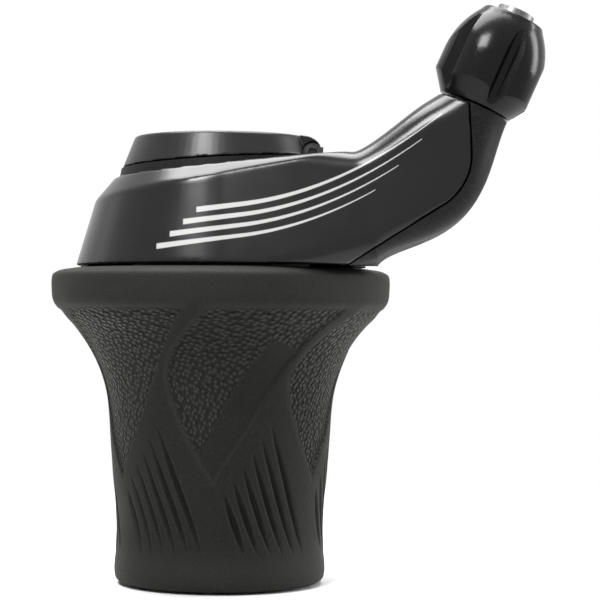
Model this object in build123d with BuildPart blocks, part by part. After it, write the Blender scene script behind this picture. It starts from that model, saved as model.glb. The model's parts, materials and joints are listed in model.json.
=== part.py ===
# Twist grip shifter for a 22.2 mm handlebar, standing on its outboard end.
# The bar runs along Z. The origin is on the bar axis at the jaw tips of the outboard end.
# The cable arm leans to +X, and the front of the cover faces -Y.
import os
from math import atan2, cos, degrees, radians, sin, tan

from build123d import *

os.makedirs("parts", exist_ok=True)

# Clearances
bar_clearance = 0.1
running_clearance = 0.1
fixed_gap = 0.05
seam_gap = 0.3
parting_gap = 0.12

# Handlebar sleeve, which everything else is built around
bar_radius = 11.1
sleeve_wall = 1.4
core_wall = 1.5
bore_radius = bar_radius + bar_clearance
sleeve_radius = bore_radius + sleeve_wall
core_bore = sleeve_radius + running_clearance
core_radius = core_bore + core_wall

# Jaws, retaining ring and washer at the outboard end
jaw_height = 0.9
jaw_count = 4
jaw_angle = 38.0
retainer_thickness = 0.65
retainer_depth = 0.45
retainer_opening = 40.0
retainer_radius = 13.9
washer_thickness = 0.5
retainer_base = jaw_height + fixed_gap
washer_base = retainer_base + retainer_thickness + fixed_gap
core_base = washer_base + washer_thickness + running_clearance

# Rubber grip: nearly straight, then a flare up to the thumb rim
rubber_base = 0.4
rubber_end_radius = 16.85
rubber_edge_round = 1.2
waist_radius = 16.6
waist_height = 9.5
waist_round = 40.0
flare_radius = 17.95
flare_drop = 22.5
flare_power = 1.8
rim_foot_radius = 25.0
rim_foot_drop = 8.0
rim_radius = 27.2
rim_band = 4.2
rim_round = 2.2
rim_edge_round = 0.8
rim_lip_radius = 23.6
rim_lip_rise = 0.8
rubber_top = 50.5
flare_height = rubber_top - flare_drop
rim_foot_height = rubber_top - rim_foot_drop
rim_high = rubber_top - rim_lip_rise
rim_low = rim_high - rim_band

# Relief in the rubber: recessed fields between ridges that widen downwards, with slanted grooves.
# Angles are seen from the front, to the right of -Y.
ridge_count = 6
field_depth = 0.35
field_outline = [
    (0.0, 17.2), (1.5, 18.6), (8.5, 21.8), (14.7, 24.6), (19.2, 27.0), (22.8, 29.2), (28.2, 32.4),
    (34.8, 36.0), (38.0, 37.6), (41.3, 39.6), (45.0, 41.5), (49.0, 43.6), (50.2, 44.2), (-1.5, 44.2),
    (-5.4, 43.0), (-9.8, 41.2), (-14.5, 39.4), (-18.6, 37.6), (-20.6, 36.4), (-23.0, 34.6), (-23.7, 32.2),
    (-22.8, 30.6), (-20.2, 28.3), (-17.1, 26.1), (-13.7, 23.8), (-10.3, 22.0), (-7.2, 20.3), (-3.5, 18.6),
]
groove_count = 6
groove_depth = 0.6
groove_width = 1.0
groove_foot = 6.6
groove_lean = 19.2
groove_first_top = (28.2, 26.0)
groove_last_top = (4.3, 15.6)
relief_inside = 12.0
relief_outside = 32.0

# Core tube of the grip, with a bell under the rim and dogs that drive the spool
bell_rise = 4.0
bell_shoulder_drop = 0.3
bell_wall = 1.6
bell_recess = 4.6
bell_drop = 0.3
bell_height = flare_height + bell_rise
bell_shoulder = rim_low - bell_shoulder_drop
bell_top = rubber_top - bell_drop
bell_floor = bell_top - bell_recess
dog_count = 3
dog_angle = 16.0
dog_height = 2.0
dog_play = 0.6

# Body form: a cone with a tilted top and a bevel that fades towards the arm
body_radius = 23.3
body_slope = 16.6
body_wall = 1.6
body_height = 15.7
top_tilt = 5.1
bevel_drop = 2.0
bevel_tilt = 10.3
bevel_radius = 19.3
bevel_shift = 1.6
bevel_slope = 40.0
bevel_low = -20.0
bevel_high = 8.0
body_headroom = 5.0
body_base = rubber_top + seam_gap
body_top = body_base + body_height
bevel_height = body_top - bevel_drop

# Cable line: tangent to the spool at the front, then up through the arm
cable_radius = 15.6
cable_size = 1.2
cable_pull = 3.48
gear_count = 11
click_angle = degrees(cable_pull / cable_radius)
twist_angle = click_angle * (gear_count - 1)

# Arm, given by the lower and upper corner of each cross-section as seen from the front, with
# heights from the foot of the body
arm_end_radius = 5.6
arm_end = (39.2, 24.25)
adjuster_lean = 66.1
arm_depth = 12.6
arm_line = -cable_radius
arm_lower = [(24.6, 0.2), (33.6, 4.6), (40.4, 11.2), (42.5, 16.7)]
arm_upper = [(21.0, 17.0), (27.5, 21.6), (31.4, 24.7), (32.9, 25.7)]
arm_roll = [9.0, 6.0, 3.0, 1.0]
arm_corner = [3.6, 4.2, 4.8, 5.2]
arm_thinning = 0.3
root_drop = 5.0
root_rise = 5.0
least_corner = 1.0

# Parting line between cover and housing, with heights from the foot of the body
parting_start = (15.0, -3.3)
parting_corner = (39.0, 11.9)
parting_end = (37.9, 31.2)
parting_round = 9.0
cover_back = 3.5
cover_step = 17.0
arm_back_gap = 4.6

# Deck under the cover, hub above it and the clamped neck
deck_drop = 5.9
deck_thickness = 1.3
deck_radius = 17.6
deck_top_radius = 16.5
hub_foot_radius = 16.4
hub_top_radius = 15.2
hub_gap = 0.2
collar_rise = 1.1
collar_tall = 4.0
collar_tilt = 3.4
collar_foot_radius = 15.5
collar_top_radius = 13.9
collar_round = 0.5
neck_drop = 0.3
neck_slot = 1.2
neck_slot_tall = 2.7
neck_slot_count = 4
deck_base = body_top - deck_drop
deck_top = deck_base + deck_thickness
collar_height = body_top + collar_rise
collar_top = collar_height + collar_tall
neck_top = collar_top - neck_drop
neck_slot_base = neck_top - neck_slot_tall

# Shoulder of the collar on the arm's side, with the pinch bolt beside the neck
shoulder_width = 3.8
shoulder_drop = 1.0
shoulder_round = 3.4
shoulder_front = 6.2
shoulder_back = 4.6
pinch_gap = 1.6
bolt_radius = 1.25
bolt_side_gap = 0.75
bolt_rise = 1.2
bolt_head_radius = 1.6
bolt_head_height = 2.0
bolt_hex = 1.5
bolt_hex_depth = 1.2
nut_width = 3.6
nut_height = 1.8
shoulder_outer = sleeve_radius + shoulder_width
shoulder_low = collar_height - shoulder_drop
bolt_offset = sleeve_radius + bolt_radius + bolt_side_gap
bolt_height = collar_height + bolt_rise
bolt_seat = shoulder_front - bolt_head_height - seam_gap

# Cable spool
spool_gap = 0.8
spool_flange = 1.4
spool_skirt = 3.4
spool_rim = 2.6
cable_groove = 2.0
head_radius = 2.3
head_angle = -130.0
spool_post_wall = 0.7
spool_post_tall = 1.9
stop_tab_angle = 150.0
stop_tab_width = 8.0
stop_tab_reach = 1.0
stop_tab_height = 2.4
stop_slack = 0.8
stop_rib_width = 5.0
spool_radius = cable_radius + spool_rim
spool_base = body_base + spool_gap
groove_height = spool_base + spool_skirt + cable_groove / 2
spool_top = groove_height + cable_groove / 2 + spool_flange
spool_post_top = spool_top + spool_post_tall
head_depth = spool_skirt + cable_groove

# Index ring and its leaf spring
index_thickness = 1.1
index_bore = 14.35
index_radius = 17.6
notch_radius = 0.85
notch_line = 14.6
leaf_thickness = 0.35
leaf_span = 80.0
leaf_width = 1.0
nose_radius = 0.7
nose_angle = -60.0
index_screw_angles = (-20, 60, 140)
index_screw_line = 15.9
index_screw_radius = 0.7
index_screw_length = 2.2
index_head_radius = 1.1
index_head_height = 0.5

# Assist spring, wound in the recess of the bell
assist_wire = 1.0
assist_radius = 18.9
assist_pitch = 1.45
assist_turns = 2

# Barrel adjuster, along its own leaning axis from the end of the arm
insert_radius = 3.2
insert_length = 5.5
boss_radius = 3.85
boss_length = 7.5
thread_radius = 2.5
thread_engagement = 5.2
thread_clearance = 0.05
guide_radius = 1.5
guide_bore = 0.9
guide_bend = 20.0
guide_start = 12.2
guide_seat = 1.2
knob_seat = 0.35
knob_foot_radius = 5.7
knob_radius = 7.9
knob_chamfer = 3.1
knob_straight = 6.6
knob_shoulder = 14.3
knob_top = 15.1
knob_shoulder_radius = 5.3
knob_top_radius = 4.8
knob_lobes = 5
knob_lobe_angle = -110.0
knob_lobe_width = 6.4
knob_lobe_crown = 1.1
flute_floor = 6.1
knob_floor = 3.2
hex_width = 6.8
hex_clearance = 0.1
bolt_flange_base = 8.6
bolt_flange_height = 2.2
bolt_tip_radius = 2.9
bolt_tip_proud = 1.2
socket_radius = 2.3
socket_depth = 6.0
cable_hole_radius = 1.0
adjuster_wire = 0.5
adjuster_coil_radius = 2.95
adjuster_turns = 3.5

# Cover screw, from the back of the arm into a boss behind the front wall
screw_reach = 27.0
screw_rise = 14.7
screw_radius = 0.9
screw_length = 7.0
screw_head_radius = 2.0
screw_head_height = 1.2
screw_hex = 1.5
screw_hex_depth = 0.6
screw_seat = -9.2
screw_boss_radius = 2.3
screw_boss_front = -19.7

through = 60.0

# Planes and directions that several pieces share
lean = radians(adjuster_lean)
adjuster_axis = Vector(cos(lean), 0, sin(lean))
adjuster_foot = Vector(arm_end[0], arm_line, body_base + arm_end[1])
adjuster_plane = Plane(origin=adjuster_foot, x_dir=(sin(lean), 0, -cos(lean)), z_dir=adjuster_axis)
adjuster_side = Plane(origin=adjuster_foot, x_dir=(sin(lean), 0, -cos(lean)), z_dir=(0, -1, 0))


def tilted_plane(height, tilt):
    """A plane across the bar axis that rises towards +X by tilt degrees."""
    angle = radians(tilt)
    return Plane(origin=(0, 0, height), x_dir=(cos(angle), 0, sin(angle)), z_dir=(-sin(angle), 0, cos(angle)))


def turned_point(radius, angle):
    """A point of the plan view, by its radius and its angle from +X."""
    return (radius * cos(radians(angle)), radius * sin(radians(angle)))


def wedge(radius, start, end):
    """Corners of a plan-view wedge that covers a circle of this radius between two angles."""
    reach = radius / cos(radians((end - start) / 2))
    return [(0, 0), turned_point(reach, start), turned_point(reach, end)]


def sector(inner, outer, start, end, low, high):
    """A piece of a ring between two radii, two angles and two heights."""
    with BuildPart() as piece:
        with BuildSketch(Plane.XY.offset(low)):
            Circle(outer)
            Circle(inner, mode=Mode.SUBTRACT)
            Polygon(*wedge(2 * outer, start, end), align=None, mode=Mode.INTERSECT)
        extrude(amount=high - low)
    return piece.part


def tube(outer, inner, low, high):
    """A plain ring about the bar axis."""
    with BuildPart() as piece:
        with BuildSketch(Plane.XY.offset(low)):
            Circle(outer)
            Circle(inner, mode=Mode.SUBTRACT)
        extrude(amount=high - low)
    return piece.part


def cone_radius(height):
    """Outer radius of the body's cone."""
    return body_radius - (height - body_base) * tan(radians(body_slope))


def top_plane(inset):
    """The body's tilted top, drawn in by a wall thickness."""
    return tilted_plane(body_top - inset / cos(radians(top_tilt)), top_tilt)


def straight_bevel(inset):
    """The bevel where it runs straight along the arm's root, drawn in by a wall thickness."""
    bevel = radians(bevel_slope)
    bevel_plane = tilted_plane(bevel_height, bevel_tilt)
    edge = bevel_radius - inset / sin(bevel)
    return Plane(
        origin=bevel_plane.from_local_coords((-bevel_shift, -edge)),
        x_dir=bevel_plane.x_dir,
        z_dir=Vector(0, -sin(bevel), 0) + bevel_plane.z_dir * cos(bevel),
    )


def body_cone(inset):
    """The body's cone with its tilted top and bevel, drawn in by a wall thickness."""
    slope = radians(body_slope)
    bevel = radians(bevel_slope)
    low = body_base - inset
    high = body_top + body_headroom
    side = inset / cos(slope)
    bevel_edge = bevel_radius - inset / sin(bevel)
    bevel_plane = tilted_plane(bevel_height, bevel_tilt)
    bevel_center = bevel_plane.from_local_coords((-bevel_shift, 0))
    with BuildPart() as bevel_form:
        with BuildSketch(Plane(origin=bevel_center, x_dir=bevel_plane.x_dir, z_dir=(0, -1, 0))):
            Polygon(
                (0, bevel_low),
                (bevel_edge - bevel_low / tan(bevel), bevel_low),
                (bevel_edge - bevel_high / tan(bevel), bevel_high),
                (0, bevel_high),
                align=None,
            )
        revolve(axis=Axis(bevel_center, bevel_plane.z_dir))
    with BuildPart() as cone:
        with BuildSketch(Plane.YZ):
            Polygon(
                (0, low),
                (cone_radius(low) - side, low),
                (cone_radius(high) - side, high),
                (0, high),
                align=None,
            )
        revolve(axis=Axis.Z)
        split(bisect_by=top_plane(inset), keep=Keep.BOTTOM)
        add(bevel_form.part, mode=Mode.INTERSECT)
    return cone.part


def section_plane(center, normal_angle, roll):
    """Plane of an arm cross-section, its height axis turned back by the roll angle."""
    angle = radians(normal_angle)
    turn = radians(roll)
    return Plane(
        origin=center,
        x_dir=(sin(angle) * sin(turn), cos(turn), -cos(angle) * sin(turn)),
        z_dir=(cos(angle), 0, sin(angle)),
    )


def arm_sections():
    """Plane, height, depth and corner radius of every cross-section of the arm."""
    sections = []
    root_height = (body_base + body_top) / 2
    root_plane = section_plane((0, -cone_radius(root_height) + fixed_gap, root_height), 0, body_slope)
    root_plane = Plane(
        origin=root_plane.from_local_coords((arm_depth / 2, (root_rise - root_drop) / 2)),
        x_dir=root_plane.x_dir,
        z_dir=root_plane.z_dir,
    )
    root_tall = (body_top - body_base) / cos(radians(body_slope)) + root_drop + root_rise
    sections.append((root_plane, root_tall, arm_depth, arm_corner[0]))
    front = -cone_radius(root_height)
    for index, (low, high) in enumerate(zip(arm_lower, arm_upper)):
        across = Vector(high[0] - low[0], high[1] - low[1])
        angle = degrees(atan2(-across.X, across.Y))
        depth = arm_depth - arm_thinning * (index + 1)
        share = (index + 1) / (len(arm_lower) + 1)
        end_front = arm_line - arm_end_radius
        center_y = front + (end_front - front) * share + depth / 2
        center = ((low[0] + high[0]) / 2, center_y, body_base + (low[1] + high[1]) / 2)
        plane = section_plane(center, angle, arm_roll[index])
        sections.append((plane, across.length, depth, arm_corner[index]))
    end_plane = section_plane(adjuster_foot, adjuster_lean, 0)
    sections.append((end_plane, 2 * arm_end_radius, 2 * arm_end_radius, arm_end_radius - fixed_gap))
    return sections


def section_size(section, inset):
    """Width, height and corner radius of a cross-section, drawn in by a wall thickness."""
    tall, depth, corner = section[1:]
    return depth - 2 * inset, tall - 2 * inset, max(corner - inset, least_corner)


def arm_form(inset):
    """The arm, lofted from inside the body to its round end, drawn in by a wall thickness."""
    sections = arm_sections()
    with BuildPart() as root:
        for section in sections[:2]:
            with BuildSketch(section[0]):
                RectangleRounded(*section_size(section, inset))
        loft(ruled=True)
        split(bisect_by=Plane.XY.offset(body_base - inset), keep=Keep.TOP)
        split(bisect_by=top_plane(inset), keep=Keep.BOTTOM)
        split(bisect_by=straight_bevel(inset), keep=Keep.BOTTOM)
    with BuildPart() as arm:
        for section in sections[1:]:
            with BuildSketch(section[0]):
                RectangleRounded(*section_size(section, inset))
        loft()
        add(root.part)
    return arm.part


def body_form(inset):
    """Body and arm together."""
    with BuildPart() as form:
        add(body_cone(inset))
        add(arm_form(inset))
    return form.part


def housing_side(gap):
    """Room of the housing's half of the shell: below the parting line and behind the cover."""
    direction = Vector(parting_corner) - Vector(parting_start)
    direction = direction.normalized()
    shift_x = -direction.Y * gap
    shift_z = direction.X * gap
    corners = (parting_start, parting_corner, parting_end)
    points = [(place[0] + shift_x, body_base + place[1] + shift_z) for place in corners]
    with BuildPart() as side:
        with BuildSketch(Plane.XZ.offset(through)):
            with BuildLine():
                seam = FilletPolyline(*points, radius=parting_round)
                Polyline(seam @ 1, (through, points[2][1]), (through, points[0][1]), seam @ 0)
            make_face()
        extrude(amount=-2 * through)
        arm_back = arm_line + arm_back_gap
        with BuildSketch(Plane.XY.offset(body_base - through / 2)):
            Polygon(
                (-through, cover_back - gap),
                (cover_step - gap, cover_back - gap),
                (cover_step - gap, arm_back - gap),
                (through, arm_back - gap),
                (through, through),
                (-through, through),
                align=None,
            )
        extrude(amount=through)
    return side.part


def adjuster_cylinder(radius, low, high):
    """A rod along the adjuster's axis, from its foot on the arm."""
    with BuildPart() as rod:
        with BuildSketch(adjuster_plane.offset(low)):
            Circle(radius)
        extrude(amount=high - low)
    return rod.part


def coil(plane, radius, wire, pitch, turns):
    """A round-wire coil spring that winds up from its plane."""
    with BuildPart() as spring:
        with BuildLine():
            path = Helix(
                pitch=pitch,
                height=pitch * turns,
                radius=radius,
                center=plane.origin,
                direction=plane.z_dir,
            )
        with BuildSketch(Plane(origin=path @ 0, z_dir=path % 0)):
            Circle(wire / 2)
        sweep()
    return spring.part


def grip_radius(height):
    """Radius of the rubber's surface at a height, along its straight part and its flare."""
    if height <= flare_height:
        share = (height - waist_height) / (flare_height - waist_height)
        return waist_radius + (flare_radius - waist_radius) * share
    share = (height - flare_height) / (rim_foot_height - flare_height)
    return flare_radius + (rim_foot_radius - flare_radius) * share**flare_power


def rubber_form(inset):
    """Outer form of the rubber, drawn in towards the axis."""
    with BuildPart() as form:
        with BuildSketch(Plane.XZ):
            with BuildLine():
                lower = FilletPolyline(
                    (0, rubber_base),
                    (rubber_end_radius - inset, rubber_base),
                    (waist_radius - inset, waist_height),
                    (flare_radius - inset, flare_height),
                    radius=[rubber_edge_round, waist_round],
                )
                flare = TangentArc(lower @ 1, (rim_foot_radius - inset, rim_foot_height), tangent=lower % 1)
                upper = FilletPolyline(
                    flare @ 1,
                    (rim_radius - inset, rim_low),
                    (rim_radius - inset, rim_high),
                    (rim_lip_radius, rubber_top),
                    (0, rubber_top),
                    radius=[rim_round, rim_edge_round, rim_edge_round],
                )
                Line(upper @ 1, lower @ 0)
            make_face()
        revolve(axis=Axis.Z)
    return form.part


def front_plane(angle):
    """Plane through the bar axis that faces outwards at an angle to the right of -Y."""
    turn = radians(angle)
    return Plane(origin=(0, 0, 0), x_dir=(cos(turn), sin(turn), 0), z_dir=(sin(turn), -cos(turn), 0))


def on_front(point, middle):
    """Place of a surface point, given by angle and height, on the plane that faces at the middle angle."""
    angle, height = point
    return (grip_radius(height) * sin(radians(angle - middle)), height)


def field_cut():
    """One recessed field of the rubber."""
    angles = [angle for angle, height in field_outline]
    middle = (min(angles) + max(angles)) / 2
    with BuildPart() as cut:
        with BuildSketch(front_plane(middle).offset(relief_inside)):
            Polygon(*[on_front(point, middle) for point in field_outline], align=None)
        extrude(amount=relief_outside - relief_inside)
        add(rubber_form(field_depth), mode=Mode.SUBTRACT)
    return cut.part


def groove_cuts():
    """The slanted grooves of one ridge, each a long lens that is widest halfway down."""
    with BuildPart() as cuts:
        for index in range(groove_count):
            share = index / (groove_count - 1)
            top_angle = groove_first_top[0] + (groove_last_top[0] - groove_first_top[0]) * share
            top_height = groove_first_top[1] + (groove_last_top[1] - groove_first_top[1]) * share
            drop = top_height - groove_foot
            side = drop * tan(radians(groove_lean))
            with BuildSketch(front_plane(top_angle).offset(relief_inside)):
                Polygon(
                    (0, top_height),
                    (side / 2 - groove_width / 2, top_height - drop / 2),
                    (side, groove_foot),
                    (side / 2 + groove_width / 2, top_height - drop / 2),
                    align=None,
                )
            extrude(amount=relief_outside - relief_inside)
        add(rubber_form(groove_depth), mode=Mode.SUBTRACT)
    return cuts.part


outer_form = body_form(0)
inner_form = body_form(body_wall)
with BuildPart() as shell:
    add(outer_form)
    add(inner_form, mode=Mode.SUBTRACT)
collar_plane = tilted_plane(collar_height, collar_tilt)
hub_plane = tilted_plane(collar_height - hub_gap, collar_tilt)
index_base = deck_base - fixed_gap - index_thickness
arm_back = arm_line + arm_back_gap
bolt_plane = Plane(origin=(bolt_offset, 0, bolt_height), x_dir=(1, 0, 0), z_dir=(0, -1, 0))
screw_plane = Plane(origin=(screw_reach, 0, body_base + screw_rise), x_dir=(1, 0, 0), z_dir=(0, -1, 0))
index_screw_places = [turned_point(index_screw_line, angle) for angle in index_screw_angles]

# Room for the collar's shoulder, bolt and nut in the top of cover and hub
pocket_back = shoulder_back + nut_height + seam_gap
with BuildPart() as shoulder_pocket:
    with BuildSketch(Plane.XZ.offset(-pocket_back)):
        with Locations((sleeve_radius - sleeve_wall, shoulder_low - seam_gap)):
            Rectangle(
                shoulder_outer + seam_gap - sleeve_radius + sleeve_wall,
                through,
                align=(Align.MIN, Align.MIN),
            )
    extrude(amount=pocket_back + shoulder_front + seam_gap)

# Housing: sleeve over the bar, deck, hub, back wall and lower half of the arm, in one moulding
with BuildPart() as hub:
    with BuildSketch(Plane.XZ):
        Polygon(
            (bore_radius, deck_base),
            (deck_radius, deck_base),
            (deck_top_radius, deck_top),
            (hub_foot_radius, deck_top),
            (hub_foot_radius, body_top - body_wall),
            (hub_top_radius, collar_top),
            (bore_radius, collar_top),
            align=None,
        )
    revolve(axis=Axis.Z)
    split(bisect_by=hub_plane, keep=Keep.BOTTOM)
    add(shoulder_pocket.part, mode=Mode.SUBTRACT)
    with BuildSketch(Plane.XY.offset(index_base)):
        with Locations(*index_screw_places):
            Circle(index_screw_radius + fixed_gap)
    extrude(amount=index_screw_length + fixed_gap, mode=Mode.SUBTRACT)

with BuildPart() as deck_web:
    with BuildSketch(Plane.XY.offset(deck_base)):
        Circle(cone_radius(deck_base))
        Circle(deck_radius - seam_gap - index_screw_radius, mode=Mode.SUBTRACT)
        with Locations((0, cover_back)):
            Rectangle(through, through, align=(Align.CENTER, Align.MIN), mode=Mode.INTERSECT)
    extrude(amount=deck_thickness)
    add(body_cone(body_wall / 2), mode=Mode.INTERSECT)

with BuildPart() as end_boss:
    add(adjuster_cylinder(arm_end_radius - body_wall / 2, -boss_length, 0))
    add(housing_side(0), mode=Mode.INTERSECT)
    add(adjuster_cylinder(boss_radius, -boss_length, 0))

stop_rib_high = spool_base + stop_tab_height
stop_rib_inner = spool_radius + 2 * seam_gap
stop_rib_outer = cone_radius(stop_rib_high) - body_wall / 2
stop_rest = stop_tab_angle + stop_tab_width / 2 + stop_slack
stop_limit = stop_tab_angle - twist_angle - stop_tab_width / 2 - stop_slack
with BuildPart() as housing:
    add(shell.part)
    add(housing_side(0), mode=Mode.INTERSECT)
    add(shoulder_pocket.part, mode=Mode.SUBTRACT)
    with BuildSketch(Plane.XY.offset(deck_base)):
        Circle(sleeve_radius)
    extrude(amount=through, mode=Mode.SUBTRACT)
    add(deck_web.part)
    add(end_boss.part)
    add(hub.part)
    add(tube(sleeve_radius, bore_radius, jaw_height, neck_top))
    for start in (stop_rest, stop_limit - stop_rib_width):
        end = start + stop_rib_width
        add(sector(stop_rib_inner, stop_rib_outer, start, end, spool_base, stop_rib_high))
    for index in range(jaw_count):
        middle = (index + 0.5) * 360 / jaw_count
        add(sector(bore_radius, sleeve_radius, middle - jaw_angle / 2, middle + jaw_angle / 2, 0, jaw_height))
    retainer_top = retainer_base + retainer_thickness
    add(
        tube(core_bore, sleeve_radius - retainer_depth, retainer_base - fixed_gap, retainer_top + fixed_gap),
        mode=Mode.SUBTRACT,
    )
    with BuildSketch(Plane.XY.offset(neck_slot_base)):
        with PolarLocations(sleeve_radius, neck_slot_count, start_angle=180 / neck_slot_count):
            Rectangle(4 * sleeve_wall, neck_slot)
    extrude(amount=through, mode=Mode.SUBTRACT)
    add(adjuster_cylinder(insert_radius + fixed_gap, -insert_length, fixed_gap), mode=Mode.SUBTRACT)
    add(adjuster_cylinder(cable_hole_radius, -boss_length - fixed_gap, 0), mode=Mode.SUBTRACT)
    add(
        adjuster_cylinder(guide_radius + fixed_gap, -boss_length - fixed_gap, guide_seat - boss_length),
        mode=Mode.SUBTRACT,
    )
    with BuildSketch(screw_plane.offset(-arm_back)):
        Circle(screw_boss_radius)
    extrude(amount=arm_back - screw_seat)
    with BuildSketch(screw_plane.offset(-screw_seat)):
        Circle(screw_head_radius + fixed_gap)
    extrude(amount=-through, mode=Mode.SUBTRACT)
    with BuildSketch(screw_plane.offset(-arm_back)):
        Circle(screw_radius + fixed_gap)
    extrude(amount=-through, mode=Mode.SUBTRACT)
housing.part.label = "housing"
export_step(housing.part, "parts/housing.step")

# Cover: gloss shell over the front and top, with its half of the arm and a screw boss
cover_screw_face = arm_back - parting_gap
with BuildPart() as cover:
    add(shell.part)
    add(housing_side(parting_gap), mode=Mode.SUBTRACT)
    with BuildSketch(Plane.XY.offset(deck_top)):
        Circle(hub_foot_radius + hub_gap)
    extrude(amount=through, mode=Mode.SUBTRACT)
    add(shoulder_pocket.part, mode=Mode.SUBTRACT)
    with BuildSketch(screw_plane.offset(-cover_screw_face)):
        Circle(screw_boss_radius)
    extrude(amount=cover_screw_face - screw_boss_front)
    with BuildSketch(screw_plane.offset(-cover_screw_face)):
        Circle(screw_radius + fixed_gap)
    extrude(amount=screw_length - (screw_seat - cover_screw_face) + fixed_gap, mode=Mode.SUBTRACT)
cover.part.label = "cover"
export_step(cover.part, "parts/cover.step")

with BuildPart() as cover_screw:
    with BuildSketch(screw_plane.offset(-screw_seat)):
        Circle(screw_radius)
    extrude(amount=screw_length)
    with BuildSketch(screw_plane.offset(-screw_seat)):
        Circle(screw_head_radius)
    extrude(amount=-screw_head_height)
    with BuildSketch(screw_plane.offset(-screw_seat - screw_head_height)):
        RegularPolygon(screw_hex / 2, 6, major_radius=False)
    extrude(amount=screw_hex_depth, mode=Mode.SUBTRACT)
cover_screw.part.label = "cover_screw"
export_step(cover_screw.part, "parts/cover_screw.step")

# Clamp collar: a split ring round the slotted neck, with a shoulder for the pinch bolt
collar_bore = sleeve_radius + fixed_gap
collar_slope = (collar_foot_radius - collar_top_radius) / (collar_top - collar_height)
with BuildPart() as clamp_collar:
    with BuildSketch(Plane.XZ):
        Polygon(
            (collar_bore, shoulder_low),
            (collar_top_radius + (collar_top - shoulder_low) * collar_slope, shoulder_low),
            (collar_top_radius, collar_top),
            (collar_bore, collar_top),
            align=None,
        )
    revolve(axis=Axis.Z)
    fillet(clamp_collar.faces().sort_by(Axis.Z)[-1].edges().sort_by(SortBy.RADIUS)[-1], collar_round)
    split(bisect_by=collar_plane, keep=Keep.TOP)
    with BuildSketch(Plane.XZ.offset(-shoulder_back)):
        with BuildLine():
            FilletPolyline(
                (sleeve_radius, shoulder_low),
                (shoulder_outer, shoulder_low),
                (shoulder_outer, collar_top),
                (sleeve_radius, collar_top),
                radius=[fixed_gap, shoulder_round],
            )
            Line((sleeve_radius, collar_top), (sleeve_radius, shoulder_low))
        make_face()
    extrude(amount=shoulder_back + shoulder_front)
    with BuildSketch(Plane.XY.offset(shoulder_low)):
        Circle(collar_bore)
    extrude(amount=through, mode=Mode.SUBTRACT)
    with BuildSketch(Plane.XY.offset(shoulder_low)):
        Rectangle(through, pinch_gap, align=(Align.MIN, Align.CENTER))
    extrude(amount=through, mode=Mode.SUBTRACT)
    with BuildSketch(bolt_plane):
        Circle(bolt_radius + running_clearance)
    extrude(amount=shoulder_front, both=True, mode=Mode.SUBTRACT)
    with BuildSketch(bolt_plane.offset(bolt_seat)):
        Circle(bolt_head_radius + running_clearance)
    extrude(amount=through, mode=Mode.SUBTRACT)
    with BuildSketch(bolt_plane.offset(-shoulder_back)):
        Rectangle(nut_width + 2 * fixed_gap, nut_width + 2 * fixed_gap)
    extrude(amount=-through, mode=Mode.SUBTRACT)
clamp_collar.part.label = "clamp_collar"
export_step(clamp_collar.part, "parts/clamp_collar.step")

with BuildPart() as clamp_bolt:
    with BuildSketch(bolt_plane.offset(-shoulder_back - nut_height)):
        Circle(bolt_radius)
    extrude(amount=shoulder_back + nut_height + bolt_seat)
    with BuildSketch(bolt_plane.offset(bolt_seat)):
        Circle(bolt_head_radius)
    extrude(amount=bolt_head_height)
    with BuildSketch(bolt_plane.offset(bolt_seat + bolt_head_height)):
        RegularPolygon(bolt_hex / 2, 6, major_radius=False)
    extrude(amount=-bolt_hex_depth, mode=Mode.SUBTRACT)
clamp_bolt.part.label = "clamp_bolt"
export_step(clamp_bolt.part, "parts/clamp_bolt.step")

with BuildPart() as clamp_nut:
    with BuildSketch(bolt_plane.offset(-shoulder_back - nut_height)):
        Rectangle(nut_width, nut_width)
        Circle(bolt_radius + fixed_gap, mode=Mode.SUBTRACT)
    extrude(amount=nut_height)
clamp_nut.part.label = "clamp_nut"
export_step(clamp_nut.part, "parts/clamp_nut.step")

# Index ring under the deck, with one notch for each gear
with BuildPart() as index_ring:
    with BuildSketch(Plane.XY.offset(index_base)):
        Circle(index_radius)
        Circle(index_bore, mode=Mode.SUBTRACT)
        notches = [turned_point(notch_line, nose_angle - gear * click_angle) for gear in range(gear_count)]
        with Locations(*notches):
            Circle(notch_radius, mode=Mode.SUBTRACT)
        with Locations(*index_screw_places):
            Circle(index_screw_radius + fixed_gap, mode=Mode.SUBTRACT)
    extrude(amount=index_thickness)
index_ring.part.label = "index_ring"
export_step(index_ring.part, "parts/index_ring.step")

with BuildPart() as index_screws:
    with BuildSketch(Plane.XY.offset(index_base)):
        with Locations(*index_screw_places):
            Circle(index_screw_radius)
    extrude(amount=index_screw_length)
    with BuildSketch(Plane.XY.offset(index_base)):
        with Locations(*index_screw_places):
            Circle(index_head_radius)
    extrude(amount=-index_head_height)
index_screws.part.label = "index_screws"
export_step(index_screws.part, "parts/index_screws.step")

# Cable guide: a bent tube from beside the spool to the boss at the end of the arm
guide_corner = adjuster_side.from_local_coords((0, (groove_height - adjuster_foot.Z) / sin(lean)))
guide_end = adjuster_side.from_local_coords((0, guide_seat - boss_length - fixed_gap))
with BuildPart() as cable_guide:
    with BuildLine(Plane.XZ.offset(-arm_line)):
        guide_path = FilletPolyline(
            (guide_start, groove_height),
            (guide_corner.X, guide_corner.Z),
            (guide_end.X, guide_end.Z),
            radius=guide_bend,
        )
    with BuildSketch(Plane(origin=guide_path @ 0, z_dir=guide_path % 0)):
        Circle(guide_radius)
        Circle(guide_bore, mode=Mode.SUBTRACT)
    sweep()
cable_guide.part.label = "cable_guide"
export_step(cable_guide.part, "parts/cable_guide.step")

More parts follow.
